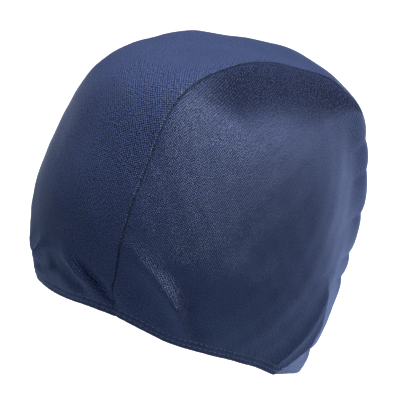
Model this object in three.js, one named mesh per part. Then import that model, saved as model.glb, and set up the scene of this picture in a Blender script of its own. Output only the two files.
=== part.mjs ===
// Knitted swim cap, shaped as the head fills it: a centre panel from the forehead over the
// crown to the nape, a panel on each side of it, and an elastic hem round the head opening.
// The face looks along -Y, the wearer's left is +X and +Z is up. The origin is the highest point
// of the cap's inside, where the head carries it. Lengths are in millimetres.

import * as THREE from "three";
import { mergeVertices } from "three/addons/utils/BufferGeometryUtils.js";

// Driving dimensions of the filled cap, set upright on its rim
const CAP_LENGTH = 196; // forehead to back of the head, at the widest level
const CAP_BREADTH = 156; // ear to ear, at the widest level
const CROWN_RISE = 110; // the crown's top above the widest level
const LOWER_DEPTH = 105; // how deep the oval below the widest level would go if it closed
const RIM_DROP = 61; // the rim below the widest level, at the forehead
const EAR_DIP = 6; // how much lower the rim runs over the ears
const PANEL_WIDTH = 88; // the centre panel, seam to seam, straight across
const WORN_TILT = 23; // degrees that the rim leans back on an upright head

// How full the cap's sections are. An ellipse is 2, and a larger number is squarer.
const FRONT_FULLNESS = 2.2;
const BACK_FULLNESS = 2.7;
const SIDE_FULLNESS = 2.7;
const LEVEL_FULLNESS = 2.1;

// Cloth, hem and seams
const CLOTH = 1.0; // stretch knit
const HEM_DEPTH = 7.5; // the turned-up edge
const HEM_THICKNESS = 2.4; // two layers with the elastic between them
const SEAM_GAP = 0.3; // between neighbouring pieces

// Relief of the cloth
const SEAM_RIDGE = 3.4; // how proud the cloth stands along a seam
const SEAM_RIDGE_REACH = 10; // from the seam down the side panel
const SEAM_SHOULDER_REACH = 25; // from the seam in over the centre panel
const SEAM_DENT = 6.0; // how far the side panel falls in below its seam
const SEAM_DENT_REACH = 26;
const FOLD_DEPTH = 3.6; // a deep fold pulled up by the hem
const FOLD_WIDTH = 5.0; // half the width of such a fold

// The front, back and side outlines, by the angle above the widest level. Each is a share of an
// ellipse through the sizes above, so 1 is that ellipse.
const OUTLINE = [
  { elevation: -50, front: 0.9, back: 1.1, side: 0.92 },
  { elevation: -36, front: 0.94, back: 1.09, side: 0.94 },
  { elevation: -25, front: 0.965, back: 1.055, side: 0.97 },
  { elevation: -12, front: 0.98, back: 1.01, side: 1.0 },
  { elevation: 0, front: 1.0, back: 1.01, side: 1.0 },
  { elevation: 20, front: 1.0, back: 1.0, side: 1.0 },
  { elevation: 38, front: 1.03, back: 1.0, side: 1.0 },
  { elevation: 50, front: 1.0, back: 1.03, side: 1.0 },
  { elevation: 62, front: 0.945, back: 1.015, side: 1.0 },
  { elevation: 76, front: 0.958, back: 1.025, side: 0.965 },
  { elevation: 90, front: 1.005, back: 1.005, side: 1.005 },
];

// The rim below RIM_DROP as a share of EAR_DIP, by the angle round from the forehead
const RIM = [
  { azimuth: 0, dip: -0.3 },
  { azimuth: 28, dip: -0.6 },
  { azimuth: 55, dip: 0.35 },
  { azimuth: 80, dip: 0.5 },
  { azimuth: 110, dip: 0.58 },
  { azimuth: 145, dip: 0.85 },
  { azimuth: 180, dip: 0.5 },
];

// Along a seam, by the angle over the head from the forehead: the panel's width as a share of
// PANEL_WIDTH, the ridge as a share of SEAM_RIDGE and the dent as a share of SEAM_DENT
const SEAM = [
  { over: -40, width: 0.88, ridge: 0.2, dent: 0 },
  { over: -20, width: 0.97, ridge: 0.3, dent: 0 },
  { over: 0, width: 1.0, ridge: 0.3, dent: 0 },
  { over: 25, width: 0.97, ridge: 0.5, dent: 0.1 },
  { over: 50, width: 0.85, ridge: 0.9, dent: 0.5 },
  { over: 68, width: 0.79, ridge: 1.0, dent: 1.0 },
  { over: 90, width: 0.8, ridge: 1.0, dent: 1.0 },
  { over: 135, width: 0.89, ridge: 0.9, dent: 0.9 },
  { over: 180, width: 0.96, ridge: 0.5, dent: 0.2 },
  { over: 215, width: 0.87, ridge: 0.2, dent: 0 },
];

// Folds of the left half, mirrored on the right, each along a line over the cap. A point of a line
// is an angle round from the forehead and a share of the way from the rim up to the crown's top,
// and its height is a share of FOLD_DEPTH, less than 0 where the cloth sinks in. The width is a
// share of FOLD_WIDTH. A fold with a power of 2 is round, and one with a power of 1 has an edge.
const FOLDS = [
  {
    // Pit over the forehead
    width: 0.9,
    power: 2,
    line: [
      { azimuth: 0, up: 0.1, height: -0.6 },
      { azimuth: 2, up: 0.14, height: -0.2 },
    ],
  },
  {
    // Lower valley from the pit
    width: 0.6,
    power: 2,
    line: [
      { azimuth: 4, up: 0.12, height: -0.2 },
      { azimuth: 14, up: 0.065, height: -0.5 },
      { azimuth: 18, up: 0.045, height: 0 },
    ],
  },
  {
    // Crest between the valleys
    width: 0.8,
    power: 2,
    line: [
      { azimuth: 6, up: 0.16, height: 0.1 },
      { azimuth: 13, up: 0.11, height: 0.5 },
      { azimuth: 19, up: 0.07, height: 0.1 },
    ],
  },
  {
    // Upper valley from the pit
    width: 0.7,
    power: 2,
    line: [
      { azimuth: 10, up: 0.155, height: 0 },
      { azimuth: 17, up: 0.12, height: -0.7 },
      { azimuth: 23, up: 0.085, height: -0.8 },
      { azimuth: 29, up: 0.045, height: -0.3 },
    ],
  },
  {
    // Hollow behind the seam
    width: 2.0,
    power: 2,
    line: [
      { azimuth: 31, up: 0.14, height: -0.3 },
      { azimuth: 37, up: 0.11, height: -0.7 },
      { azimuth: 44, up: 0.08, height: -0.4 },
    ],
  },
  {
    // Crest over the temple
    width: 1.3,
    power: 2,
    line: [
      { azimuth: 29, up: 0.24, height: 0 },
      { azimuth: 37, up: 0.195, height: 0.6 },
      { azimuth: 48, up: 0.155, height: 0.9 },
      { azimuth: 56, up: 0.115, height: 0.8 },
      { azimuth: 64, up: 0.07, height: 0.2 },
    ],
  },
  {
    // Valley over the temple
    width: 1.1,
    power: 2,
    line: [
      { azimuth: 50, up: 0.23, height: 0 },
      { azimuth: 56, up: 0.18, height: -0.6 },
      { azimuth: 61, up: 0.13, height: -0.9 },
      { azimuth: 68, up: 0.065, height: -0.5 },
    ],
  },
  {
    // Crease behind the ear
    width: 2.2,
    power: 1,
    line: [
      { azimuth: 126, up: 0, height: 0.9 },
      { azimuth: 130, up: 0.05, height: 1.1 },
      { azimuth: 134, up: 0.1, height: 1.3 },
      { azimuth: 134.5, up: 0.16, height: 1.2 },
      { azimuth: 132, up: 0.23, height: 0.8 },
      { azimuth: 128, up: 0.31, height: 0 },
    ],
  },
  ...[
    { up: 0.63, height: -0.5 },
    { up: 0.56, height: -0.4 },
    { up: 0.45, height: -0.5 },
    { up: 0.34, height: -0.6 },
    { up: 0.27, height: -0.6 },
    { up: 0.06, height: -0.9 },
  ].map(({ up, height }) => ({
    // Gather across the back seam
    width: 0.8,
    power: 1,
    line: [
      { azimuth: 136, up, height: 0 },
      { azimuth: 147, up, height },
      { azimuth: 158, up, height },
      { azimuth: 172, up, height: 0 },
    ],
  })),
];

// Mesh fineness
const PANEL_ROWS = 56;
const PANEL_COLUMNS = 10;
const SIDE_COLUMNS = 34;
const SIDE_ROWS = 24;
const HEM_STATIONS = 96;
const MIDLINE_STEPS = 360; // places tried for the crown's top

const CLOTH_COLOUR = 0x3d486b;
const HEM_COLOUR = 0x384261;

const radians = THREE.MathUtils.degToRad;
const degrees = THREE.MathUtils.radToDeg;
const { clamp, lerp } = THREE.MathUtils;

// A smooth reading of a table between its rows, level at both ends
function read(table, key, column, at) {
  const last = table.length - 1;
  const x = clamp(at, table[0][key], table[last][key]);
  let i = 0;
  while (i < last - 1 && x > table[i + 1][key]) i += 1;
  const slope = (j) =>
    j <= 0 || j >= last
      ? 0
      : (table[j + 1][column] - table[j - 1][column]) / (table[j + 1][key] - table[j - 1][key]);
  const span = table[i + 1][key] - table[i][key];
  const t = (x - table[i][key]) / span;
  const rise = (1 - t) * (1 - t);
  const fall = t * t;
  return (
    table[i][column] * (1 + 2 * t) * rise +
    table[i + 1][column] * (3 - 2 * t) * fall +
    slope(i) * span * t * rise -
    slope(i + 1) * span * (1 - t) * fall
  );
}

// The distance from the middle of the head out to the bare cap. Angles are in degrees.
function bareRadius(azimuth, elevation) {
  const rise = elevation > 0 ? CROWN_RISE : LOWER_DEPTH;
  const e = radians(elevation);
  const oval = (reach, fullness) =>
    ((Math.cos(e) / reach) ** fullness + (Math.abs(Math.sin(e)) / rise) ** fullness) **
    (-1 / fullness);
  const forward = Math.cos(radians(azimuth)) > 0;
  const facing = forward ? "front" : "back";
  const across =
    oval(CAP_BREADTH / 2, SIDE_FULLNESS) * read(OUTLINE, "elevation", "side", elevation);
  const along =
    oval(CAP_LENGTH / 2, forward ? FRONT_FULLNESS : BACK_FULLNESS) *
    read(OUTLINE, "elevation", facing, elevation);
  const power = lerp(2, LEVEL_FULLNESS, Math.cos(e) ** 2);
  const sum =
    Math.abs(Math.sin(radians(azimuth)) / across) ** power +
    Math.abs(Math.cos(radians(azimuth)) / along) ** power;
  return sum ** (-1 / power);
}

// The rim's angle below the widest level, at an angle round from the forehead
function rimElevation(azimuth) {
  const round = Math.abs(azimuth);
  const drop = RIM_DROP + EAR_DIP * read(RIM, "azimuth", "dip", round);
  let low = -70;
  let high = 0;
  for (let i = 0; i < 30; i += 1) {
    const middle = (low + high) / 2;
    if (bareRadius(azimuth, middle) * Math.sin(radians(middle)) < -drop) low = middle;
    else high = middle;
  }
  return (low + high) / 2;
}

// The angle that a length spans on the cap, seen from the middle of the head
function spanned(length, azimuth, elevation) {
  return degrees(length / bareRadius(azimuth, elevation));
}

function hemElevation(azimuth) {
  const rim = rimElevation(azimuth);
  return rim + spanned(HEM_DEPTH, azimuth, rim);
}

// Directions from the middle of the head
function fromAngles(azimuth, elevation) {
  const a = radians(azimuth);
  const e = radians(elevation);
  return new THREE.Vector3(
    Math.cos(e) * Math.sin(a),
    -Math.cos(e) * Math.cos(a),
    Math.sin(e),
  );
}

function fromFan(over, aside) {
  const o = radians(over);
  const s = radians(aside);
  return new THREE.Vector3(
    Math.sin(s),
    -Math.cos(s) * Math.cos(o),
    Math.cos(s) * Math.sin(o),
  );
}

const azimuthOf = (d) => degrees(Math.atan2(d.x, -d.y));
const elevationOf = (d) => degrees(Math.asin(clamp(d.z, -1, 1)));
const overOf = (d) => {
  const over = degrees(Math.atan2(d.z, -d.y));
  return over < -90 ? over + 360 : over;
};
const asideOf = (d) => degrees(Math.asin(clamp(Math.abs(d.x), -1, 1)));

// How far aside the seam runs, at an angle over the head
function seamAside(over) {
  const half = (PANEL_WIDTH / 2) * read(SEAM, "over", "width", over);
  let aside = 25;
  for (let i = 0; i < 12; i += 1) {
    const d = fromFan(over, aside);
    const radius = bareRadius(azimuthOf(d), elevationOf(d));
    aside = degrees(Math.asin(half / radius));
  }
  return aside;
}

// Seam ridge and the dent below it, from how far a direction lies outside the seam
function seamRelief(d, radius) {
  const over = overOf(d);
  const beyond = radius * radians(asideOf(d) - seamAside(over));
  const fall = beyond > 0 ? SEAM_RIDGE_REACH : SEAM_SHOULDER_REACH;
  const ridge = SEAM_RIDGE * read(SEAM, "over", "ridge", over) * Math.exp(-((beyond / fall) ** 2));
  const reach = Math.max(beyond, 0) / SEAM_DENT_REACH;
  const hollow = (reach * Math.exp(1 - reach)) ** 3;
  return ridge - SEAM_DENT * read(SEAM, "over", "dent", over) * hollow;
}

// How far one fold moves the cloth, from the nearest place on the fold's line. Places are laid
// out flat, in millimetres over the cap.
function foldRelief(at, radius, fold) {
  const lay = ({ azimuth, up }) =>
    new THREE.Vector2(azimuth * Math.cos(radians(at.elevation)), lerp(at.rim, 90, up));
  const point = lay(at);
  let nearest = Infinity;
  let height = 0;
  for (let i = 1; i < fold.line.length; i += 1) {
    const from = lay(fold.line[i - 1]);
    const along = lay(fold.line[i]).sub(from);
    const t = clamp(point.clone().sub(from).dot(along) / along.lengthSq(), 0, 1);
    const distance = point.distanceTo(from.addScaledVector(along, t));
    if (distance < nearest) {
      nearest = distance;
      height = lerp(fold.line[i - 1].height, fold.line[i].height, t);
    }
  }
  const off = (radius * radians(nearest)) / (FOLD_WIDTH * fold.width);
  return FOLD_DEPTH * height * Math.exp(-(off ** fold.power));
}

// A point of the outer surface, measured from the middle of the head
function surface(d) {
  const azimuth = azimuthOf(d);
  const elevation = elevationOf(d);
  const radius = bareRadius(azimuth, elevation);
  const rim = rimElevation(azimuth);
  const up = (elevation - rim) / (90 - rim);
  const at = { azimuth: Math.abs(azimuth), elevation, rim, up };
  let relief = seamRelief(d, radius);
  for (const fold of FOLDS) relief += foldRelief(at, radius, fold);
  return radius + relief;
}

// A closed wall from a grid of directions. The inner face lies a cloth's thickness inside.
function wall(directions, thickness) {
  const rows = directions.length;
  const columns = directions[0].length;
  const outer = directions.map((row) => row.map((d) => d.clone().multiplyScalar(surface(d))));
  const inner = outer.map((row, i) =>
    row.map((point, j) => {
      const a = outer[Math.min(i + 1, rows - 1)][j].clone().sub(outer[Math.max(i - 1, 0)][j]);
      const b = row[Math.min(j + 1, columns - 1)].clone().sub(row[Math.max(j - 1, 0)]);
      const normal = a.cross(b).normalize();
      const lean = Math.max(Math.abs(normal.dot(directions[i][j])), 0.7);
      return point.clone().addScaledVector(directions[i][j], -thickness / lean);
    }),
  );
  return closed(outer, inner);
}

// Joins two like grids into one closed body, faces out whichever way the grid runs
function closed(outer, inner) {
  const rows = outer.length;
  const columns = outer[0].length;
  const points = [];
  const quad = (a, b, c, d) => points.push(a, b, c, a, c, d);
  for (let i = 0; i < rows - 1; i += 1) {
    for (let j = 0; j < columns - 1; j += 1) {
      quad(outer[i][j], outer[i + 1][j], outer[i + 1][j + 1], outer[i][j + 1]);
      quad(inner[i][j], inner[i][j + 1], inner[i + 1][j + 1], inner[i + 1][j]);
    }
    quad(outer[i][0], inner[i][0], inner[i + 1][0], outer[i + 1][0]);
    const j = columns - 1;
    quad(outer[i][j], outer[i + 1][j], inner[i + 1][j], inner[i][j]);
  }
  for (let j = 0; j < columns - 1; j += 1) {
    const i = rows - 1;
    quad(outer[0][j], outer[0][j + 1], inner[0][j + 1], inner[0][j]);
    quad(outer[i][j], inner[i][j], inner[i][j + 1], outer[i][j + 1]);
  }
  return solid(points);
}

function solid(points) {
  const geometry = new THREE.BufferGeometry().setFromPoints(points);
  const merged = mergeVertices(geometry, 1e-4);
  const index = merged.index.array;
  const at = merged.getAttribute("position");
  const [a, b, c] = [new THREE.Vector3(), new THREE.Vector3(), new THREE.Vector3()];
  let volume = 0;
  for (let i = 0; i < index.length; i += 3) {
    a.fromBufferAttribute(at, index[i]);
    b.fromBufferAttribute(at, index[i + 1]);
    c.fromBufferAttribute(at, index[i + 2]);
    volume += a.dot(b.cross(c)) / 6;
  }
  if (volume < 0) {
    for (let i = 0; i < index.length; i += 3) [index[i + 1], index[i + 2]] = [index[i + 2], index[i + 1]];
  }
  merged.computeVertexNormals();
  return merged;
}

// Where a line over the head at a share of the seam's distance aside meets the hem
function hemCrossing(share, start) {
  let inside = 90;
  let outside = start;
  for (let i = 0; i < 30; i += 1) {
    const over = (inside + outside) / 2;
    const d = fromFan(over, Math.abs(share) * seamAside(over));
    const azimuth = azimuthOf(d);
    const hem = hemElevation(azimuth) + spanned(SEAM_GAP / 2, azimuth, elevationOf(d));
    if (elevationOf(d) > hem) inside = over;
    else outside = over;
  }
  return (inside + outside) / 2;
}

function shares(count) {
  return Array.from({ length: count + 1 }, (_, i) => i / count);
}

function centrePanel() {
  const lines = shares(PANEL_COLUMNS).map((share) => {
    const across = 2 * share - 1;
    return { across, front: hemCrossing(across, -60), back: hemCrossing(across, 240) };
  });
  const grid = shares(PANEL_ROWS).map((along) =>
    lines.map(({ across, front, back }) => {
      const over = lerp(front, back, along);
      const edge = seamAside(over) - degrees(SEAM_GAP / 2 / CROWN_RISE);
      return fromFan(over, across * edge);
    }),
  );
  return wall(grid, CLOTH);
}

// A side panel is filled in from its four edges: the hem below, and the seam's front, top and back
function sidePanel(side) {
  const front = hemCrossing(1, -60);
  const back = hemCrossing(1, 240);
  const frontTop = 50;
  const backTop = 130;
  const seam = (over) => fromFan(over, seamAside(over) + degrees(SEAM_GAP / 2 / CROWN_RISE));
  const [first, last] = [azimuthOf(seam(front)), azimuthOf(seam(back))];
  const hem = (share) => {
    const azimuth = lerp(first, last, share);
    const elevation = hemElevation(azimuth);
    return fromAngles(azimuth, elevation + spanned(SEAM_GAP / 2, azimuth, elevation));
  };
  const grid = shares(SIDE_ROWS).map((v) => {
    const left = seam(lerp(front, frontTop, v));
    const right = seam(lerp(back, backTop, v));
    return shares(SIDE_COLUMNS).map((u) => {
      const low = hem(u);
      const high = seam(lerp(frontTop, backTop, u));
      const d = new THREE.Vector3()
        .addScaledVector(low, 1 - v)
        .addScaledVector(high, v)
        .addScaledVector(left, 1 - u)
        .addScaledVector(right, u)
        .addScaledVector(hem(0), -(1 - u) * (1 - v))
        .addScaledVector(hem(1), -u * (1 - v))
        .addScaledVector(seam(frontTop), -(1 - u) * v)
        .addScaledVector(seam(backTop), -u * v);
      return d.multiply(new THREE.Vector3(side, 1, 1)).normalize();
    });
  });
  return wall(grid, CLOTH);
}

// The hem's section, from its upper outer edge down round the fold and up inside
const HEM_SECTION = [
  { down: 0, inward: 0 },
  { down: 0.5, inward: 0 },
  { down: 0.88, inward: 0.08 },
  { down: 1, inward: 0.5 },
  { down: 0.88, inward: 0.92 },
  { down: 0.5, inward: 1 },
  { down: 0, inward: 1 },
];

function hem() {
  const rings = shares(HEM_STATIONS).slice(0, -1).map((share) => {
    const azimuth = 360 * share - 180;
    const rim = rimElevation(azimuth);
    const top = hemElevation(azimuth) - spanned(SEAM_GAP / 2, azimuth, rim);
    return HEM_SECTION.map(({ down, inward }) => {
      const d = fromAngles(azimuth, lerp(top, rim, down));
      return d.clone().multiplyScalar(surface(d) - inward * HEM_THICKNESS);
    });
  });
  const points = [];
  rings.forEach((ring, i) => {
    const next = rings[(i + 1) % rings.length];
    ring.forEach((point, j) => {
      const k = (j + 1) % ring.length;
      points.push(point, next[j], next[k], point, next[k], ring[k]);
    });
  });
  return solid(points);
}

const cap = new THREE.Group();

function piece(name, geometry, color) {
  const material = new THREE.MeshStandardMaterial({ color, roughness: 0.7, metalness: 0 });
  const mesh = new THREE.Mesh(geometry, material);
  mesh.name = name;
  cap.add(mesh);
}

piece("centre_panel", centrePanel(), CLOTH_COLOUR);
piece("side_panel_left", sidePanel(1), CLOTH_COLOUR);
piece("side_panel_right", sidePanel(-1), CLOTH_COLOUR);
piece("hem_band", hem(), HEM_COLOUR);

// Worn, the cap leans back, and the highest point of its inside comes to the origin
cap.rotation.x = -radians(WORN_TILT);
const midline = shares(MIDLINE_STEPS).map((share) => {
  const d = fromFan(180 * share, 0);
  return d.multiplyScalar(surface(d) - CLOTH).applyEuler(cap.rotation);
});
const crown = midline.reduce((best, point) => (point.z > best.z ? point : best));
cap.position.copy(crown).negate();

export default cap;
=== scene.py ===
# The looks of the knitted swim cap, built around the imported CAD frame. Lengths are in metres and
# angles in degrees. The cap's surface is the same function of a direction from the middle of the
# head as in the part's source, with finer folds, seams and stitching added to it.

import math

import bpy
import numpy as np
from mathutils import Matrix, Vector


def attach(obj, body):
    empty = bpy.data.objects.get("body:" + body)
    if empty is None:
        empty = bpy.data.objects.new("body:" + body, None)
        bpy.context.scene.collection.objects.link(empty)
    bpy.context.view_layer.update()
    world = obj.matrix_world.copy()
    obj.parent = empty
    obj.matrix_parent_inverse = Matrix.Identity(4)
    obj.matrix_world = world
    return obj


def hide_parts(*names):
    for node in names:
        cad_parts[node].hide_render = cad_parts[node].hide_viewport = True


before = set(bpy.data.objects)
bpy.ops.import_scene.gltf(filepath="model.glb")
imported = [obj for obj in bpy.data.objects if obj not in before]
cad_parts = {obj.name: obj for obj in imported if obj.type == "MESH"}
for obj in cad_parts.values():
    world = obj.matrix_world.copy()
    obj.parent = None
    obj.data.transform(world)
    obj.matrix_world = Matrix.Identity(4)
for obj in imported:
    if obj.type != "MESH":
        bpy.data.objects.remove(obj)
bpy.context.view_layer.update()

MM = 0.001

# Driving sizes, as in the part's source
CAP_LENGTH = 196 * MM
CAP_BREADTH = 156 * MM
CROWN_RISE = 110 * MM
LOWER_DEPTH = 105 * MM
RIM_DROP = 61 * MM
EAR_DIP = 6 * MM
PANEL_WIDTH = 88 * MM
WORN_TILT = 23
FRONT_FULLNESS = 2.2
BACK_FULLNESS = 2.7
SIDE_FULLNESS = 2.7
LEVEL_FULLNESS = 2.1
CLOTH = 1.0 * MM
HEM_DEPTH = 7.5 * MM
HEM_THICKNESS = 2.4 * MM
SEAM_RIDGE = 3.4 * MM
SEAM_RIDGE_REACH = 10 * MM
SEAM_SHOULDER_REACH = 25 * MM
SEAM_DENT = 6.0 * MM
SEAM_DENT_REACH = 26 * MM
FOLD_DEPTH = 3.6 * MM
FOLD_WIDTH = 5.0 * MM

# Fine relief that only the looks have
GROOVE_DEPTH = 0.9 * MM
GROOVE_WIDTH = 0.55 * MM
GROOVE_POWER = 1.3
WELT_HEIGHT = 0.05 * MM
WELT_PLACE = 2.6 * MM
WELT_WIDTH = 1.6 * MM
PUCKER_HEIGHT = 0.084 * MM
PUCKER_PITCHES = (7.5 * MM, 4.725 * MM, 12.75 * MM)
PUCKER_REACH = 8 * MM
PUCKER_SHIFT = 13 * MM
UNEVENNESS = 0.25 * MM
RIPPLE_HEIGHT = 0.16 * MM
RIPPLE_PITCHES = (5.1 * MM, 3.7 * MM, 8.3 * MM)
RIPPLE_PLACE = 5.5 * MM
RIPPLE_REACH = 6 * MM
HEM_FADE = 0.6

# The shown cloth is a little thicker than the CAD's, so that it covers the CAD's inner face
SHOWN_CLOTH = 1.12 * MM

# The hem's two stitch rows, by their height above the edge
STITCH_ROWS = (6.2 * MM, 3.1 * MM)
CHANNEL_DEPTH = 0.35 * MM
CHANNEL_WIDTH = 0.8 * MM
STITCH_PITCH = 3.5 * MM
STITCH_LENGTH = 2.7 * MM
THREAD_RADIUS = 0.2 * MM
THREAD_SIDES = 6

# In radii of the thread: its thickness along a stitch, its bow, and how deep the bow starts
THREAD_TAPER = (0.6, 0.95, 1, 1, 1, 0.95, 0.6)
THREAD_BOW = 1.5
THREAD_SUNK = 0.9
BOW_POWER = 0.7

# Outline shares by elevation: front, back, side
OUTLINE = np.array([
    (-50, 0.90, 1.1, 0.92),
    (-36, 0.94, 1.09, 0.94),
    (-25, 0.965, 1.055, 0.97),
    (-12, 0.98, 1.01, 1.0),
    (0, 1.0, 1.01, 1.0),
    (20, 1.0, 1.0, 1.0),
    (38, 1.03, 1.0, 1.0),
    (50, 1.0, 1.03, 1.0),
    (62, 0.945, 1.015, 1.0),
    (76, 0.958, 1.025, 0.965),
    (90, 1.005, 1.005, 1.005),
])
FRONT, BACK, SIDE = 1, 2, 3

# The rim's dip by azimuth
RIM = np.array([(0, -0.3), (28, -0.6), (55, 0.35), (80, 0.5), (110, 0.58), (145, 0.85), (180, 0.5)])

# Along a seam, by the angle over the head: width, ridge, dent
SEAM = np.array([
    (-40, 0.88, 0.2, 0),
    (-20, 0.97, 0.3, 0),
    (0, 1.0, 0.3, 0),
    (25, 0.97, 0.5, 0.1),
    (50, 0.85, 0.9, 0.5),
    (68, 0.79, 1, 1),
    (90, 0.8, 1, 1),
    (135, 0.89, 0.9, 0.9),
    (180, 0.96, 0.5, 0.2),
    (215, 0.87, 0.2, 0),
])
WIDTH, RIDGE, DENT = 1, 2, 3

# Folds: width, power, and the line's points by azimuth, share of the way up, and height
FOLDS = [
    (0.9, 2, [(0, 0.1, -0.6), (2, 0.14, -0.2)]),
    (0.6, 2, [(4, 0.12, -0.2), (14, 0.065, -0.5), (18, 0.045, 0)]),
    (0.8, 2, [(6, 0.16, 0.1), (13, 0.11, 0.5), (19, 0.07, 0.1)]),
    (0.7, 2, [(10, 0.155, 0), (17, 0.12, -0.7), (23, 0.085, -0.8), (29, 0.045, -0.3)]),
    (2.0, 2, [(31, 0.14, -0.3), (37, 0.11, -0.7), (44, 0.08, -0.4)]),
    (1.3, 2, [(29, 0.24, 0), (37, 0.195, 0.6), (48, 0.155, 0.9), (56, 0.115, 0.8), (64, 0.07, 0.2)]),
    (1.1, 2, [(50, 0.23, 0), (56, 0.18, -0.6), (61, 0.13, -0.9), (68, 0.065, -0.5)]),
    (2.2, 1, [(126, 0, 0.9), (130, 0.05, 1.1), (134, 0.1, 1.3), (134.5, 0.16, 1.2),
              (132, 0.23, 0.8), (128, 0.31, 0)]),
]
GATHERS = [(0.63, -0.5), (0.56, -0.4), (0.45, -0.5), (0.34, -0.6), (0.27, -0.6), (0.06, -0.9)]
FOLDS += [
    (0.8, 1, [(136, up, 0), (147, up, height), (158, up, height), (172, up, 0)])
    for up, height in GATHERS
]

# Finer folds that only the looks have, in the same columns
FINE_FOLDS = [
    (0.5, 2, [(0, 0.115, 0), (7, 0.078, -0.24), (12, 0.057, -0.24), (15, 0.045, 0)]),
    (0.6, 1.5, [(1, 0.144, 0), (10, 0.119, 0.28), (14, 0.094, 0.28), (19, 0.077, 0)]),
    (0.4, 1.5, [(9, 0.15, 0), (14, 0.121, -0.35), (19, 0.097, -0.42), (23, 0.078, -0.42),
                (28, 0.05, -0.35), (31, 0.035, 0)]),
    (0.5, 1.5, [(11, 0.16, 0), (16, 0.137, 0.2), (22, 0.115, 0.3), (26.5, 0.092, 0.2), (29, 0.06, 0)]),
    (0.55, 1.2, [(31, 0.231, 0), (37, 0.198, 0.12), (42.6, 0.179, 0.22), (51, 0.144, 0.36),
                 (55.5, 0.118, 0.46), (64, 0.054, 0.42), (66, 0.03, 0.1)]),
    (0.9, 2, [(41, 0.213, 0), (52, 0.184, -0.3), (59, 0.134, -0.42), (67.5, 0.07, -0.35)]),
    (0.8, 1, [(129.4, 0.307, 0), (130.7, 0.245, 0.25), (128.7, 0.147, 0.35), (125.4, 0.075, 0.35),
              (123.3, 0.035, 0.3)]),
]

# Mesh fineness. The rings of a side panel have fewer points towards its middle.
SEAM_STATIONS = 356
SEAM_END_SHARE = 0.0011
HEM_ARC_STATIONS = 156
PANEL_COLUMNS = 64
SIDE_RINGS = 76
SIDE_REACH = 90 * MM
THINNED_SPACING = 0.5
MOST_THINNING = 32
FEWEST_IN_RING = 16
BORDER_STEP = 0.35 * MM
HEM_OUTER_POINTS = 14
HEM_INNER_POINTS = 12
HEM_FOLD_STEPS = 8
ROW_SAMPLES = 1441
HALVINGS = 40


def read(table, column, at):
    """A smooth reading of a table's column between its rows, level at both ends."""
    keys, values = table[:, 0], table[:, column]
    slopes = np.zeros(len(keys))
    slopes[1:-1] = (values[2:] - values[:-2]) / (keys[2:] - keys[:-2])
    x = np.clip(at, keys[0], keys[-1])
    i = np.clip(np.searchsorted(keys, x, side="right") - 1, 0, len(keys) - 2)
    span = keys[i + 1] - keys[i]
    t = (x - keys[i]) / span
    rise, fall = (1 - t) ** 2, t * t
    return (
        values[i] * (1 + 2 * t) * rise
        + values[i + 1] * (3 - 2 * t) * fall
        + slopes[i] * span * t * rise
        - slopes[i + 1] * span * (1 - t) * fall
    )


def bare_radius(azimuth, elevation):
    """The distance from the middle of the head out to the bare cap."""
    rise = np.where(elevation > 0, CROWN_RISE, LOWER_DEPTH)
    e, a = np.radians(elevation), np.radians(azimuth)

    def oval(reach, fullness):
        return ((np.cos(e) / reach) ** fullness + (np.abs(np.sin(e)) / rise) ** fullness) ** (-1 / fullness)

    forward = np.cos(a) > 0
    across = oval(CAP_BREADTH / 2, SIDE_FULLNESS) * read(OUTLINE, SIDE, elevation)
    along = np.where(
        forward,
        oval(CAP_LENGTH / 2, FRONT_FULLNESS) * read(OUTLINE, FRONT, elevation),
        oval(CAP_LENGTH / 2, BACK_FULLNESS) * read(OUTLINE, BACK, elevation),
    )
    power = 2 + (LEVEL_FULLNESS - 2) * np.cos(e) ** 2
    return (np.abs(np.sin(a) / across) ** power + np.abs(np.cos(a) / along) ** power) ** (-1 / power)


def from_angles(azimuth, elevation):
    a, e = np.radians(azimuth), np.radians(elevation)
    return np.stack([np.cos(e) * np.sin(a), -np.cos(e) * np.cos(a), np.sin(e)], -1)


def from_fan(over, aside):
    o, s = np.radians(over), np.radians(aside)
    return np.stack([np.sin(s) + 0 * o, -np.cos(s) * np.cos(o), np.cos(s) * np.sin(o)], -1)


def azimuth_of(d):
    return np.degrees(np.arctan2(d[..., 0], -d[..., 1]))


def elevation_of(d):
    return np.degrees(np.arcsin(np.clip(d[..., 2], -1, 1)))


def over_of(d):
    over = np.degrees(np.arctan2(d[..., 2], -d[..., 1]))
    return np.where(over < -90, over + 360, over)


def aside_of(d):
    return np.degrees(np.arcsin(np.clip(np.abs(d[..., 0]), -1, 1)))


# The rim's elevation and the seam's angle aside, found once and then read by interpolation
RIM_AZIMUTHS = np.linspace(0, 180, 721)


def find_rim():
    """The rim's elevation at each azimuth, where the bare cap has come down to the rim's level."""
    drop = RIM_DROP + EAR_DIP * read(RIM, 1, RIM_AZIMUTHS)
    low, high = np.full(RIM_AZIMUTHS.shape, -70.0), np.zeros(RIM_AZIMUTHS.shape)
    for _ in range(HALVINGS):
        middle = (low + high) / 2
        below = bare_radius(RIM_AZIMUTHS, middle) * np.sin(np.radians(middle)) < -drop
        low, high = np.where(below, middle, low), np.where(below, high, middle)
    return (low + high) / 2


RIM_ELEVATIONS = find_rim()
OVERS = np.linspace(-60, 240, 1201)


def find_seam():
    """The seam's angle aside at each angle over the head, closed in on from a first guess."""
    half = PANEL_WIDTH / 2 * read(SEAM, WIDTH, OVERS)
    aside = np.full(OVERS.shape, 25.0)
    for _ in range(12):
        d = from_fan(OVERS, aside)
        aside = np.degrees(np.arcsin(half / bare_radius(azimuth_of(d), elevation_of(d))))
    return aside


SEAM_ASIDES = find_seam()


def rim_elevation(azimuth):
    return np.interp(np.abs(azimuth), RIM_AZIMUTHS, RIM_ELEVATIONS)


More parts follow.
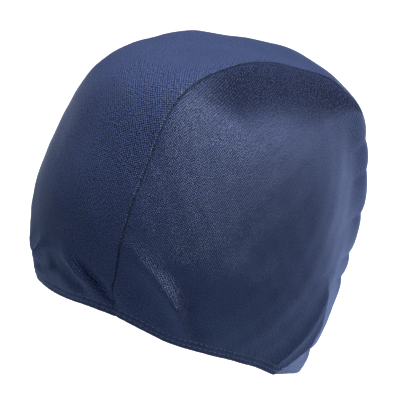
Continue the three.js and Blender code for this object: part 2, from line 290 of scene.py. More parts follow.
def hem_elevation(azimuth):
    rim = rim_elevation(azimuth)
    return rim + np.degrees(HEM_DEPTH / bare_radius(azimuth, rim))


def seam_aside(over):
    return np.interp(over, OVERS, SEAM_ASIDES)


def beyond_seam(d, radius):
    """How far outside the seam a direction lies, along the cloth."""
    return radius * np.radians(aside_of(d) - seam_aside(over_of(d)))


def seam_relief(d, radius):
    over = over_of(d)
    beyond = beyond_seam(d, radius)
    fall = np.where(beyond > 0, SEAM_RIDGE_REACH, SEAM_SHOULDER_REACH)
    ridge = SEAM_RIDGE * read(SEAM, RIDGE, over) * np.exp(-((beyond / fall) ** 2))
    reach = np.maximum(beyond, 0) / SEAM_DENT_REACH
    return ridge - SEAM_DENT * read(SEAM, DENT, over) * (reach * np.exp(1 - reach)) ** 3


def fold_relief(azimuth, elevation, rim, up, radius, fold):
    """How far one fold moves the cloth, from the nearest place on the fold's line."""
    width, power, line = fold
    squeeze = np.cos(np.radians(elevation))
    x, y = azimuth * squeeze, rim + (90 - rim) * up
    nearest, height = np.full(x.shape, np.inf), np.zeros(x.shape)
    for (a0, u0, h0), (a1, u1, h1) in zip(line, line[1:]):
        x0, y0 = a0 * squeeze, rim + (90 - rim) * u0
        dx, dy = a1 * squeeze - x0, (90 - rim) * (u1 - u0)
        t = np.clip(((x - x0) * dx + (y - y0) * dy) / (dx * dx + dy * dy), 0, 1)
        distance = np.hypot(x - x0 - t * dx, y - y0 - t * dy)
        closer = distance < nearest
        nearest = np.where(closer, distance, nearest)
        height = np.where(closer, h0 + (h1 - h0) * t, height)
    off = radius * np.radians(nearest) / (FOLD_WIDTH * width)
    return FOLD_DEPTH * height * np.exp(-(off ** power))


def folded(folds, azimuth, elevation, radius):
    """How far a list of folds moves the cloth, the same on both sides of the head."""
    rim = rim_elevation(azimuth)
    up = (elevation - rim) / (90 - rim)
    return sum(fold_relief(np.abs(azimuth), elevation, rim, up, radius, fold) for fold in folds)


def plain_radius(d):
    """The CAD's surface: the bare cap with its seam ridges, dents and folds."""
    azimuth, elevation = azimuth_of(d), elevation_of(d)
    radius = bare_radius(azimuth, elevation)
    return radius + seam_relief(d, radius) + folded(FOLDS, azimuth, elevation, radius)


def waves(x, pitches, phases):
    """An uneven run of waves, from about -1 to 1."""
    return sum(np.sin(2 * math.pi * x / p + f) for p, f in zip(pitches, phases)) / len(pitches)


def fine_relief(d, radius):
    """Seam grooves, welts and puckers, finer folds, unevenness, and the hem's channels and ripples."""
    off = np.abs(beyond_seam(d, radius))
    groove = -GROOVE_DEPTH * np.exp(-((off / GROOVE_WIDTH) ** GROOVE_POWER))
    welt = WELT_HEIGHT * np.exp(-(((off - WELT_PLACE) / WELT_WIDTH) ** 2))

    # The two seams' puckers are shifted, so that the sides are no exact mirrors of each other
    along = radius * np.radians(over_of(d)) + np.sign(d[..., 0]) * PUCKER_SHIFT
    share = off / PUCKER_REACH
    pucker = PUCKER_HEIGHT * waves(along, PUCKER_PITCHES, (0.4, 2.1, 4.4)) * share * np.exp(1 - 2 * share)

    # Slow waves over the whole cap, whose wave numbers and phases don't repeat
    x, y, z = d[..., 0], d[..., 1], d[..., 2]
    uneven = UNEVENNESS * (
        np.sin(17 * x + 11 * y + 1.3) * np.sin(13 * z - 9 * y + 0.7)
        + 0.6 * np.sin(29 * y + 8 * z + 2.1) * np.sin(23 * x + 19 * z)
    )
    azimuth, elevation = azimuth_of(d), elevation_of(d)
    folds = folded(FINE_FOLDS, azimuth, elevation, radius)
    height = radius * np.radians(elevation - rim_elevation(azimuth))
    channels = sum(
        -CHANNEL_DEPTH * np.exp(-(((height - row) / CHANNEL_WIDTH) ** 2)) for row in STITCH_ROWS
    )
    around = radius * np.radians(azimuth) * np.cos(np.radians(elevation))
    ripples = RIPPLE_HEIGHT * waves(around, RIPPLE_PITCHES, (0.2, 1.9, 3.3))
    ripples = ripples * np.exp(-(((height - RIPPLE_PLACE) / RIPPLE_REACH) ** 2))
    return groove + welt + pucker + uneven + folds + channels + ripples


# Where the cap sits: leaned back, with the highest point of its inside at the origin
lean = math.radians(WORN_TILT)
LEAN = np.array([
    (1, 0, 0),
    (0, math.cos(lean), math.sin(lean)),
    (0, -math.sin(lean), math.cos(lean)),
])


def find_seat():
    d = from_fan(np.linspace(0, 180, 361), np.zeros(361))
    inside = (d * (plain_radius(d) - CLOTH)[:, None]) @ LEAN.T
    return inside[np.argmax(inside[:, 2])]


SEAT = find_seat()


def placed(points):
    return points @ LEAN.T - SEAT


def outer(d):
    radius = plain_radius(d)
    return placed(d * (radius + fine_relief(d, radius))[..., None])


def inner(d):
    return placed(d * (plain_radius(d) - SHOWN_CLOTH)[..., None])


# Meshes. UV maps are laid out as on balls of these radii, each piece in its own place.
MAP_RADIUS = 0.1
HEM_MAP_RADIUS = 0.08
CENTRE_MAP_PLACE, SIDE_MAP_PLACE, HEM_MAP_PLACE = 0.1, 0.15, 0.3


def add_uv(mesh, name, uv):
    """A UV map from one place for each point."""
    corners = np.zeros(len(mesh.loops), np.int64)
    mesh.loops.foreach_get("vertex_index", corners)
    layer = mesh.uv_layers.new(name=name)
    layer.data.foreach_set("uv", uv[corners].astype(np.float32).ravel())


def add_object(name, data):
    piece = bpy.data.objects.new(name, data)
    bpy.context.scene.collection.objects.link(piece)
    return piece


def make_mesh(name, points, faces, uv, material, sharp=(), seam_uv=None):
    """An object from points and faces, its faces turned outwards, with UV maps in metres."""
    faces = [list(f) for f in faces]
    a, b, c = (points[[f[k] for f in faces]] for k in (0, 1, 2))
    volume = np.einsum("ij,ij->i", a, np.cross(b, c)).sum()
    fourth = [f for f in faces if len(f) == 4]
    if fourth:
        a, b, c = (points[[f[k] for f in fourth]] for k in (0, 2, 3))
        volume += np.einsum("ij,ij->i", a, np.cross(b, c)).sum()
    if volume < 0:
        faces = [f[::-1] for f in faces]
    mesh = bpy.data.meshes.new(name)
    mesh.from_pydata(points.tolist(), [], faces)
    mesh.shade_smooth()
    add_uv(mesh, "cloth", uv)
    if seam_uv is not None:
        add_uv(mesh, "seamwise", seam_uv)
    if len(sharp):
        size = len(points)
        ends = np.zeros(len(mesh.edges) * 2, np.int64)
        mesh.edges.foreach_get("vertices", ends)
        ends = np.sort(ends.reshape(-1, 2), 1)
        pairs = np.sort(np.array(sharp), 1)
        marked = np.isin(ends[:, 0] * size + ends[:, 1], pairs[:, 0] * size + pairs[:, 1])
        attribute = mesh.attributes.new("sharp_edge", "BOOLEAN", "EDGE")
        attribute.data.foreach_set("value", marked)
    mesh.materials.append(material)
    return add_object(name, mesh)


def walled(name, directions, faces, border, uv, material):
    """A closed wall of cloth over the given directions, with its border turned in."""
    count = len(directions)
    points = np.concatenate([outer(directions), inner(directions)])
    faces = [tuple(f) for f in faces]
    back = [tuple(i + count for i in reversed(f)) for f in faces]
    ring = list(zip(border, np.roll(border, -1)))
    edge = [(j, i, i + count, j + count) for i, j in ring]
    sharp = ring + [(i + count, j + count) for i, j in ring]
    along = np.radians(over_of(directions)) * MAP_RADIUS
    seam_uv = np.stack([along, beyond_seam(directions, MAP_RADIUS)], -1)
    uv, seam_uv = np.concatenate([uv, uv]), np.concatenate([seam_uv, seam_uv])
    return make_mesh(name, points, faces + back + edge, uv, material, sharp, seam_uv)


def graded(count, first):
    """Steps from 0 to 1 that start at first and grow evenly."""
    steps = np.linspace(0, 1, count + 1)
    low, high = 0.0, 1.0
    for _ in range(HALVINGS):
        share = (low + high) / 2
        curve = share * steps + (1 - share) * steps ** 2
        low, high = (share, high) if curve[1] < first else (low, share)
    return curve


def hem_crossing(across, start):
    """The angle over the head where a line at a share of the seam's distance aside meets the hem."""
    inside, outside = 90.0, float(start)
    for _ in range(HALVINGS):
        over = (inside + outside) / 2
        d = from_fan(np.array(over), abs(across) * seam_aside(over))
        if elevation_of(d) > hem_elevation(azimuth_of(d)):
            inside = over
        else:
            outside = over
    return (inside + outside) / 2


half_columns = graded(PANEL_COLUMNS // 2, BORDER_STEP / (PANEL_WIDTH / 2))
ACROSS = np.concatenate([half_columns - 1, (1 - half_columns)[::-1][1:]])
FRONT_CROSSING = np.array([hem_crossing(a, -60) for a in ACROSS])
BACK_CROSSING = np.array([hem_crossing(a, 240) for a in ACROSS])
SEAM_OVERS = np.linspace(FRONT_CROSSING[-1], BACK_CROSSING[-1], SEAM_STATIONS + 1)


def border_spread(count, step):
    """Steps from 0 to 1 that close up towards both ends, where they are about as long as step."""
    steps = np.linspace(0, 1, count + 1)
    return steps - (1 - step * count) * np.sin(2 * math.pi * steps) / (2 * math.pi)


def centre_panel(material):
    """The strip over the head, in rows across it from the forehead to the nape."""
    along = border_spread(SEAM_STATIONS, SEAM_END_SHARE)
    over = FRONT_CROSSING + (BACK_CROSSING - FRONT_CROSSING) * along[:, None]
    aside = ACROSS * seam_aside(over)
    d = from_fan(over, aside)
    rows, columns = over.shape
    index = np.arange(rows * columns).reshape(rows, columns)
    faces = np.stack([index[:-1, :-1], index[1:, :-1], index[1:, 1:], index[:-1, 1:]], -1).reshape(-1, 4)
    border = np.concatenate([index[0, :-1], index[:-1, -1], index[-1, :0:-1], index[:0:-1, 0]])
    uv = np.radians(np.stack([aside, over], -1).reshape(-1, 2)) * MAP_RADIUS + CENTRE_MAP_PLACE
    return walled("centre_panel_cloth", d.reshape(-1, 3), faces.tolist(), border.tolist(), uv, material)


# The middle of a side panel's flat map
PANEL_MIDDLE = np.array((0.0, 12 * MM))
TINY = 1e-9


def side_map(d):
    """Flat place of a direction on a side panel: its angle from the ear's axis, laid out from it."""
    angle = np.arccos(np.clip(np.abs(d[..., 0]), 0, 1))
    across = np.hypot(d[..., 1], d[..., 2])
    share = np.where(across > TINY,MAP_RADIUS * angle / np.maximum(across, TINY), MAP_RADIUS)
    return np.stack([d[..., 1] * share, d[..., 2] * share], -1)


def side_direction(place, side):
    distance = np.hypot(place[..., 0], place[..., 1])
    angle = distance / MAP_RADIUS
    share = np.where(distance > TINY,np.sin(angle) / np.maximum(distance, TINY), 1 / MAP_RADIUS)
    return np.stack([side * np.cos(angle), place[..., 0] * share, place[..., 1] * share], -1)


def hem_arc():
    """Azimuths of a side panel's lower border, from its front corner to its back corner."""
    ends = from_fan(SEAM_OVERS[[0, -1]], seam_aside(SEAM_OVERS[[0, -1]]))
    first, last = azimuth_of(ends)
    return first + (last - first) * np.linspace(0, 1, HEM_ARC_STATIONS + 1)


HEM_ARC = hem_arc()


def side_panel(name, side, material):
    """A side panel in rings round its middle, the points of its border shared with its neighbours."""
    along = border_spread(SEAM_STATIONS, SEAM_END_SHARE)
    over = SEAM_OVERS[0] + (SEAM_OVERS[-1] - SEAM_OVERS[0]) * along
    seam = from_fan(over, seam_aside(over))
    low = from_angles(HEM_ARC, hem_elevation(HEM_ARC))
    edge = side_map(np.concatenate([seam[:-1], low[:0:-1]]))
    steps = graded(SIDE_RINGS, BORDER_STEP / SIDE_REACH)
    places, faces, rings = [], [], []
    count, made = len(edge), 0
    for inward in steps[:-1]:
        out = 1 - inward
        while (
            len(edge) // count < MOST_THINNING
            and out * len(edge) / count < THINNED_SPACING
            and count > FEWEST_IN_RING
        ):
            count //= 2
        places.append(PANEL_MIDDLE + (edge[:: len(edge) // count] - PANEL_MIDDLE) * out)
        rings.append(list(range(made, made + count)))
        made += count
    for outside, within in zip(rings, rings[1:]):
        for i, here in enumerate(within):
            after = within[(i + 1) % len(within)]
            if len(outside) == len(within):
                faces.append((outside[i], outside[(i + 1) % len(within)], after, here))
            else:
                a, b, c = outside[2 * i], outside[2 * i + 1], outside[(2 * i + 2) % len(outside)]
                faces += [(a, b, here), (b, after, here), (b, c, after)]
    last = rings[-1]
    faces += [(last[i], last[(i + 1) % len(last)], made) for i in range(len(last))]
    places.append(PANEL_MIDDLE[None])
    flat = np.concatenate(places)
    border = rings[0]
    if side < 0:
        faces = [f[::-1] for f in faces]
        border = border[::-1]
    return walled(name, side_direction(flat, side), faces, border, flat + SIDE_MAP_PLACE, material)


def hem_stations():
    """Azimuths round the hem, at the points of the panels' lower borders."""
    front = azimuth_of(from_fan(FRONT_CROSSING, ACROSS * seam_aside(FRONT_CROSSING)))
    back = azimuth_of(from_fan(BACK_CROSSING, ACROSS * seam_aside(BACK_CROSSING))) % 360
    back = np.sort(back)
    return np.concatenate([front, HEM_ARC[1:], back[1:], 360 - HEM_ARC[::-1][1:-1]])


def hem_cloth(material):
    """The turned-up hem, one section carried round the edge of the cap."""
    azimuth = (hem_stations() + 180) % 360 - 180
    top, rim = hem_elevation(azimuth), rim_elevation(azimuth)

    # The section, as the distance down from the hem's top and the distance in from the outer face
    fold = HEM_THICKNESS / 2
    straight = HEM_DEPTH - fold
    turn = np.linspace(0, math.pi, HEM_FOLD_STEPS + 2)[1:-1]
    down = np.concatenate([
        np.linspace(0, straight, HEM_OUTER_POINTS),
        straight + fold * np.sin(turn),
        np.linspace(straight, 0, HEM_INNER_POINTS),
    ])
    inward = np.concatenate([
        np.zeros(HEM_OUTER_POINTS),
        fold - fold * np.cos(turn),
        np.full(HEM_INNER_POINTS, HEM_THICKNESS),
    ])
    share = down / HEM_DEPTH
    d = from_angles(azimuth[:, None], top[:, None] + (rim - top)[:, None] * share)
    radius = plain_radius(d)

    # The fine relief fades towards the inner face
    relief = fine_relief(d, radius) * (1 - HEM_FADE * inward / HEM_THICKNESS)
    points = placed(d * (radius + relief - inward)[..., None])
    rows, columns = d.shape[:2]
    index = np.arange(rows * columns).reshape(rows, columns)
    after = np.roll(index, -1, 0)
    beside = np.roll(index, -1, 1)
    faces = np.stack([index, after, np.roll(after, -1, 1), beside], -1).reshape(-1, 4)
    arc = np.unwrap(np.radians(azimuth)) * HEM_MAP_RADIUS + HEM_MAP_PLACE
    run = np.cumsum(np.concatenate([[0], np.hypot(np.diff(down), np.diff(inward))]))
    uv = np.stack(np.broadcast_arrays(arc[:, None], run[None]), -1).reshape(-1, 2)
    sharp = [(a, b) for k in (0, columns - 1) for a, b in zip(index[:, k], after[:, k])]
    return make_mesh("hem_cloth", points.reshape(-1, 3), faces.tolist(), uv, material, sharp)


def above_edge(azimuth, height):
    """Directions of the places at a height above the cap's edge."""
    rim = rim_elevation(azimuth)
    return from_angles(azimuth, rim + np.degrees(height / bare_radius(azimuth, rim)))


def stitches(material):
    """Both rows of hem stitches, each a short bow of thread that dives into the cloth."""
    around = np.linspace(-180, 180, ROW_SAMPLES)
    stations, sides = len(THREAD_TAPER), THREAD_SIDES
    steps = np.linspace(0, 1, stations)
    bow = np.sin(math.pi * steps) ** BOW_POWER
    thick = THREAD_RADIUS * np.array(THREAD_TAPER)
    turn = 2 * math.pi * np.arange(sides) / sides
    points, faces, uv = [], [], []
    for row in STITCH_ROWS:
        line = outer(above_edge(around, row))
        length = np.concatenate([[0], np.cumsum(np.linalg.norm(np.diff(line, axis=0), axis=1))])
        number = round(length[-1] / STITCH_PITCH)
        for k in range(number):
            along = length[-1] * k / number + STITCH_LENGTH * steps
            d = above_edge(np.interp(along % length[-1], length, around), row)
            radius = plain_radius(d)
            radius = radius + fine_relief(d, radius) + THREAD_RADIUS * (THREAD_BOW * bow - THREAD_SUNK)
            spine = placed(d * radius[:, None])
            out = d @ LEAN.T
            run = np.gradient(spine, axis=0)
            run /= np.linalg.norm(run, axis=1)[:, None]
            across = np.cross(out, run)
            across /= np.linalg.norm(across, axis=1)[:, None]
            lift = np.cross(run, across)
            rings = np.arange(stations * sides).reshape(stations, sides) + len(points) * stations * sides
            tube = spine[:, None] + thick[:, None, None] * (
                np.cos(turn)[None, :, None] * across[:, None] + np.sin(turn)[None, :, None] * lift[:, None]
            )
            points.append(tube.reshape(-1, 3))
            place = np.broadcast_arrays(along[:, None], turn[None] * THREAD_RADIUS)
            uv.append(np.stack(place, -1).reshape(-1, 2))
            for ring, after in zip(rings.tolist(), rings[1:].tolist()):
                for j in range(sides):
                    m = (j + 1) % sides
                    faces.append((ring[j], ring[m], after[m], after[j]))
            faces.append(rings[0, ::-1].tolist())
            faces.append(rings[-1].tolist())
    mesh = bpy.data.meshes.new("hem_stitching")
    mesh.from_pydata(np.concatenate(points).tolist(), [], faces)
    mesh.shade_smooth()
    add_uv(mesh, "cloth", np.concatenate(uv))
    mesh.materials.append(material)
    return add_object("hem_stitching", mesh)


# Materials

# The knit: its lattice, its noises by scale, detail and roughness, and what they add to its tone,
# height and roughness. Tone 0 is dark and 1 is light.
KNIT_PITCH = 1.75 * MM
GRAIN = (1200, 1, 0.5)
MOTTLE = (45, 3, 0.55)
TONE_START, GRAIN_TONE, LATTICE_TONE, MOTTLE_TONE = -2.2, 3.8, 1.4, 0.2
GRAIN_HEIGHT = 1.6
LEAST_ROUGHNESS, GRAIN_ROUGHNESS = 0.27, 0.1
KNIT_BUMP = 0.27 * MM
KNIT_BUMP_STRENGTH = 0.8
SPECULAR = 0.45
SHEEN = 0.2
SHEEN_ROUGHNESS = 0.3
SHEEN_TINT = (0.65, 0.74, 1.0)

# Painted shadow along a seam: its width by distance from the seam, and how far it darkens the knit low down
# and on top
SEAM_SHADOW_FULL, SEAM_SHADOW_END = 0.5 * MM, 1.1 * MM
SEAM_SHADOW_TONE, TOP_SEAM_SHADOW_TONE = -0.35, -0.6
TOP_START = 0.0525

# The side panels are bunched into the top seam in gathers. This says where, along the seam and below it,
# the gathers lie, and what they
# and their streaks do to the knit: a streaked relief, more roughness, less gloss, and painted shade that
# darkens the knit below the top seam.
GATHER_SHADE_START, GATHER_SHADE_FULL = 0.075, 0.115
GATHER_SHADE_EASED, GATHER_SHADE_END = 0.165, 0.225
GATHER_SHADE_DEPTH = 0.041
LEAST_DEPTH = 0.5 * MM
STREAK_PITCH = 1.7 * MM
STREAK_DRIFT = (420, 1, 0.5)
DRIFT_ANGLE = 9.0
STREAK_STRETCH = 0.1
# How far the painted shade under the top seam darkens the tone, and how much less it darkens on the
# streaks' crests
GATHER_PAINTED_SHADE, STREAK_PAINTED_SHADE = 0.68, 0.3
STREAK_HEIGHT = 1.2
GATHER_ROUGHNESS = 0.25
DULLING = 0.75

# The thread: the pitch of its twist and its bump
TWIST_PITCH = 0.5 * MM
THREAD_BUMP = 0.05 * MM
THREAD_BUMP_STRENGTH = 0.6
THREAD_ROUGHNESS = 0.5
THREAD_SHEEN = 0.3

# Dark and light tones of each
KNIT_TONES = (0.008, 0.0115, 0.029), (0.066, 0.096, 0.225)
HEM_TONES = (0.007, 0.010, 0.025), (0.058, 0.084, 0.197)
THREAD_TONES = (0.12, 0.14, 0.24), (0.26, 0.29, 0.43)


def new_material(name):
    material = bpy.data.materials.new(name)
    material.use_nodes = True
    tree = material.node_tree
    tree.nodes.clear()
    output = tree.nodes.new("ShaderNodeOutputMaterial")
    shader = tree.nodes.new("ShaderNodeBsdfPrincipled")
    tree.links.new(shader.outputs["BSDF"], output.inputs["Surface"])
    return material, tree, shader


def math_node(tree, operation, *inputs):
    node = tree.nodes.new("ShaderNodeMath")
    node.operation = operation
    for socket, value in zip(node.inputs, inputs):
        if isinstance(value, bpy.types.NodeSocket):
            tree.links.new(value, socket)
        else:
            socket.default_value = value
    return node.outputs[0]


def times(tree, a, b):
    return math_node(tree, "MULTIPLY", a, b)


def times_plus(tree, a, b, added):
    return math_node(tree, "MULTIPLY_ADD", a, b, added)


def from_zero(tree, value):
    """A value from -1 to 1, brought to run from 0 to 1."""
    return times_plus(tree, value, 0.5, 0.5)


def noise(tree, vector, scale, detail, roughness=0.5):
    node = tree.nodes.new("ShaderNodeTexNoise")
    node.inputs["Scale"].default_value = scale
    node.inputs["Detail"].default_value = detail
    node.inputs["Roughness"].default_value = roughness
    tree.links.new(vector, node.inputs["Vector"])
    return node.outputs["Fac"]


def ramp(tree, factor, stops):
    """Colours by a factor, from stops of a position and a colour."""
    node = tree.nodes.new("ShaderNodeValToRGB")
    elements = node.color_ramp.elements
    for element, (position, colour) in ((elements[0], stops[0]), (elements[1], stops[-1])):
        element.position = position
        element.color = (*colour, 1)
    for position, colour in stops[1:-1]:
        elements.new(position).color = (*colour, 1)
    tree.links.new(factor, node.inputs["Fac"])
    return node.outputs["Color"]


def add_bump(tree, shader, height, strength, distance):
    bump = tree.nodes.new("ShaderNodeBump")
    bump.inputs["Strength"].default_value = strength
    bump.inputs["Distance"].default_value = distance
    tree.links.new(height, bump.inputs["Height"])
    tree.links.new(bump.outputs["Normal"], shader.inputs["Normal"])


def uv_axes(tree, name):
    uv = tree.nodes.new("ShaderNodeUVMap")
    uv.uv_map = name
    split = tree.nodes.new("ShaderNodeSeparateXYZ")
    tree.links.new(uv.outputs["UV"], split.inputs["Vector"])
    return uv.outputs["UV"], split.outputs["X"], split.outputs["Y"]


def smooth_range(tree, value, low, high):
    """0 up to low and 1 from high on, with a smooth step between. A low above high runs down."""
    node = tree.nodes.new("ShaderNodeMapRange")
    node.interpolation_type = "SMOOTHSTEP"
    node.inputs["From Min"].default_value = low
    node.inputs["From Max"].default_value = high
    tree.links.new(value, node.inputs["Value"])
    return node.outputs["Result"]


def gather_shade_and_streaks(tree, along, below):
    """How strongly the cloth is bunched into gathers at a place, a mask that also carries painted shade
    under the top seam, and the fine streaks that the gathers leave.
    """
    start = smooth_range(tree, along, GATHER_SHADE_START, GATHER_SHADE_FULL)
    end = smooth_range(tree, along, GATHER_SHADE_END, GATHER_SHADE_EASED)
    reach = times_plus(tree, times(tree, start, end), GATHER_SHADE_DEPTH, LEAST_DEPTH)
    far = smooth_range(tree, math_node(tree, "DIVIDE", below, reach), 1.0, 0.4)
    near = smooth_range(tree, below, 0.0, 1 * MM)
    place = tree.nodes.new("ShaderNodeCombineXYZ")
    tree.links.new(along, place.inputs["X"])
    tree.links.new(times(tree, below, STREAK_STRETCH), place.inputs["Y"])
    drift = noise(tree, place.outputs["Vector"], *STREAK_DRIFT)
    even = times(tree, along, 2 * math.pi / STREAK_PITCH)
    turn = times_plus(tree, drift, DRIFT_ANGLE, even)
    streak = from_zero(tree, math_node(tree, "SINE", turn))
    return times(tree, times(tree, start, near), far), streak


def knit_material(name, tones, gathers_and_painted_shade=False):
    """A knit with a lattice and a grain. For the panels it also has painted shadow along the seams, and
    gathers under the top seam with painted shade in them.
    """
    material, tree, shader = new_material(name)
    place, x, y = uv_axes(tree, "cloth")
    turn = 2 * math.pi / KNIT_PITCH
    wale = math_node(tree, "SINE", times(tree, x, turn))
    course = math_node(tree, "SINE", times(tree, y, turn))
    lattice = from_zero(tree, times(tree, wale, course))
    grain = noise(tree, place, *GRAIN)
    mottle = noise(tree, place, *MOTTLE)
    height = times_plus(tree, grain, GRAIN_HEIGHT, lattice)
    tone = times_plus(tree, grain, GRAIN_TONE, TONE_START)
    tone = times_plus(tree, lattice, LATTICE_TONE, tone)
    tone = times_plus(tree, mottle, MOTTLE_TONE, tone)
    rough = times_plus(tree, grain, GRAIN_ROUGHNESS, LEAST_ROUGHNESS)
    shader.inputs["Specular IOR Level"].default_value = SPECULAR
    shader.inputs["Sheen Weight"].default_value = SHEEN
    if gathers_and_painted_shade:
        _, along, below = uv_axes(tree, "seamwise")
        off = math_node(tree, "ABSOLUTE", below)
        # Painted shadow of the seam's fold: the knit's tone is darkened within about a millimetre of the
        # seam, more on top, and on top its gloss is dulled too
        painted_seam_shadow = smooth_range(tree, off, SEAM_SHADOW_END, SEAM_SHADOW_FULL)
        on_top = smooth_range(tree, along, TOP_START, GATHER_SHADE_FULL)
        strength = times_plus(tree, on_top, TOP_SEAM_SHADOW_TONE, SEAM_SHADOW_TONE)
        tone = math_node(tree, "ADD", tone, times(tree, painted_seam_shadow, strength))
        gather_and_painted_shade, streak = gather_shade_and_streaks(tree, along, below)
        # Painted shade: below the top seam the knit's tone is darkened by the gathers' mask, less on the
        # streaks' crests
        painted_shade = times_plus(tree, streak, -STREAK_PAINTED_SHADE, GATHER_PAINTED_SHADE)
        tone = math_node(tree, "SUBTRACT", tone, times(tree, gather_and_painted_shade, painted_shade))
        height = times_plus(tree, times(tree, gather_and_painted_shade, streak), STREAK_HEIGHT, height)
        rough = times_plus(tree, gather_and_painted_shade, GATHER_ROUGHNESS, rough)
        dull = math_node(tree, "MAXIMUM", gather_and_painted_shade, times(tree, painted_seam_shadow, on_top))
        shine = times_plus(tree, dull, -DULLING, 1)
        tree.links.new(times(tree, shine, SPECULAR), shader.inputs["Specular IOR Level"])
        tree.links.new(times(tree, shine, SHEEN), shader.inputs["Sheen Weight"])
    add_bump(tree, shader, height, KNIT_BUMP_STRENGTH, KNIT_BUMP)
    tree.links.new(ramp(tree, tone, list(zip((0, 1), tones))), shader.inputs["Base Color"])
    tree.links.new(rough, shader.inputs["Roughness"])
    shader.inputs["Specular Tint"].default_value = (*SHEEN_TINT, 1)
    shader.inputs["Sheen Roughness"].default_value = SHEEN_ROUGHNESS
    shader.inputs["Sheen Tint"].default_value = (*SHEEN_TINT, 1)
    return material


def thread_material():
    """Thread with a slanting twist."""
    material, tree, shader = new_material("stitch_thread")
    _, along, around = uv_axes(tree, "cloth")
    slant = times(tree, around, 1 / THREAD_RADIUS)
    slant = times_plus(tree, along, 2 * math.pi / TWIST_PITCH, slant)
    twist = from_zero(tree, math_node(tree, "SINE", slant))
    tree.links.new(ramp(tree, twist, list(zip((0, 1), THREAD_TONES))), shader.inputs["Base Color"])
    add_bump(tree, shader, twist, THREAD_BUMP_STRENGTH, THREAD_BUMP)
    shader.inputs["Roughness"].default_value = THREAD_ROUGHNESS
    shader.inputs["Sheen Weight"].default_value = THREAD_SHEEN
    return material


# The panels' knit has painted shadow along the seams and painted shade under the top seam
knit = knit_material("knit_cloth", KNIT_TONES, gathers_and_painted_shade=True)
hem_knit = knit_material("hem_cloth", HEM_TONES)
thread = thread_material()

centre = centre_panel(knit)
left = side_panel("side_panel_left_cloth", 1, knit)
right = side_panel("side_panel_right_cloth", -1, knit)
hem = hem_cloth(hem_knit)
stitching = stitches(thread)

for piece, node, slot in (
    (centre, "centre_panel", "knit"),
    (left, "side_panel_left", "knit"),
    (right, "side_panel_right", "knit"),
    (hem, "hem_band", "hem"),
    (stitching, None, "hem"),
):
    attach(piece, "root")
    if node:
        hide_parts(node)

# Studio: a white floor that gives no light, soft lights above and below, and a dim surround

FLOOR_HEIGHT = -0.6
FLOOR_REACH = 40
LIGHT_DISTANCE = 1.7
LIGHT_SIZE = 0.9
GLOW_BELOW = (0.29, 0.39, 0.56)
GLOW_LEVEL = (0.02, 0.03, 0.05)
GLOW_ABOVE = (0.02, 0.02, 0.03)


def floor_material():
    material, tree, shader = new_material("pale_floor")
    where = tree.nodes.new("ShaderNodeTexCoord")
    cloud = noise(tree, where.outputs["Object"], 3, 2)
    colour = ramp(tree, cloud, [(0.3, (0.88, 0.88, 0.88)), (0.7, (0.9, 0.9, 0.9))])
    tree.links.new(colour, shader.inputs["Base Color"])
    shader.inputs["Roughness"].default_value = 0.9
    shader.inputs["Emission Color"].default_value = (1, 1, 1, 1)
    shader.inputs["Emission Strength"].default_value = 1.0
    return material


def floor():
    mesh = bpy.data.meshes.new("floor")
    corners = [(-1, -1), (1, -1), (1, 1), (-1, 1)]
    points = [(x * FLOOR_REACH, y * FLOOR_REACH, FLOOR_HEIGHT) for x, y in corners]
    mesh.from_pydata(points, [], [(0, 1, 2, 3)])
    mesh.materials.append(floor_material())
    plane = add_object("floor", mesh)
    plane.visible_diffuse = False
    plane.visible_glossy = False
    plane.visible_shadow = False


floor()

# The view's middle, close to the middle of the head, and the camera by azimuth, elevation,
# distance, and focal length and sensor width in mm
MIDDLE = Vector((0.006, 0.001, 0.0152)) - Vector(SEAT)
VIEW_AZIMUTH, VIEW_ELEVATION, VIEW_DISTANCE = 54.1, 19.8, 3.0
VIEW_LENS, SENSOR_WIDTH = 470, 36
VIEW_REACH = 100


def toward(azimuth, elevation):
    a, e = math.radians(azimuth), math.radians(elevation)
    return Vector((math.sin(a) * math.cos(e), -math.cos(a) * math.cos(e), math.sin(e)))


def face_middle(thing, azimuth, elevation, distance):
    """Puts a light or the camera at a distance from the view's middle and turns it to that."""
    away = toward(azimuth, elevation)
    thing.location = MIDDLE + away * distance
    thing.rotation_mode = "QUATERNION"
    thing.rotation_quaternion = (-away).to_track_quat("-Z", "Y")


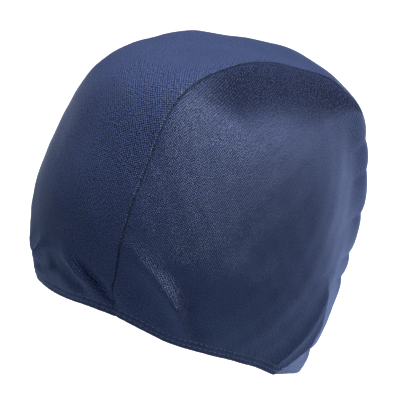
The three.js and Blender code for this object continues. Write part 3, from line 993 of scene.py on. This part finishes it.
def lit_from(name, azimuth, elevation, power, colour, gloss=False):
    """A round light that gives the cloth either its broad shading or its gloss."""
    data = bpy.data.lights.new(name, "AREA")
    data.shape = "DISK"
    data.size = LIGHT_SIZE
    data.energy = power
    data.color = colour
    lamp = add_object(name, data)
    face_middle(lamp, azimuth, elevation, LIGHT_DISTANCE)
    lamp.visible_diffuse = not gloss
    lamp.visible_glossy = gloss


lit_from("top_light", 169, 80, 58, (1, 0.98, 0.96))
lit_from("side_light", 123, 36, 5.5, (1, 0.9, 0.8))
lit_from("low_back_light", 194, -34, 88, (0.76, 0.8, 1))
lit_from("low_front_light", 20, -20, 5, (1, 0.92, 0.78))
lit_from("sheen_light", 121, 38, 30, (0.97, 0.98, 1), gloss=True)


def surround():
    """A world that glows pale blue below and hardly above, and is white where the camera sees it."""
    world = bpy.data.worlds.new("surround")
    world.use_nodes = True
    tree = world.node_tree
    shade = tree.nodes["Background"]
    where = tree.nodes.new("ShaderNodeTexCoord")
    split = tree.nodes.new("ShaderNodeSeparateXYZ")
    tree.links.new(where.outputs["Generated"], split.inputs["Vector"])
    high = from_zero(tree, split.outputs["Z"])
    glow = ramp(tree, high, [(0.0, GLOW_BELOW), (0.3, GLOW_BELOW), (0.5, GLOW_LEVEL), (1.0, GLOW_ABOVE)])
    tree.links.new(glow, shade.inputs["Color"])
    white = tree.nodes.new("ShaderNodeBackground")
    path = tree.nodes.new("ShaderNodeLightPath")
    mix = tree.nodes.new("ShaderNodeMixShader")
    tree.links.new(path.outputs["Is Camera Ray"], mix.inputs[0])
    tree.links.new(shade.outputs[0], mix.inputs[1])
    tree.links.new(white.outputs[0], mix.inputs[2])
    white.inputs["Color"].default_value = (1, 1, 1, 1)
    tree.links.new(mix.outputs[0], tree.nodes["World Output"].inputs["Surface"])
    bpy.context.scene.world = world


surround()

camera_data = bpy.data.cameras.new("camera")
camera_data.lens = VIEW_LENS
camera_data.sensor_width = SENSOR_WIDTH
camera_data.clip_end = VIEW_REACH
camera = add_object("camera", camera_data)
face_middle(camera, VIEW_AZIMUTH, VIEW_ELEVATION, VIEW_DISTANCE)
bpy.context.scene.camera = camera
bpy.context.scene.view_settings.view_transform = "Standard"
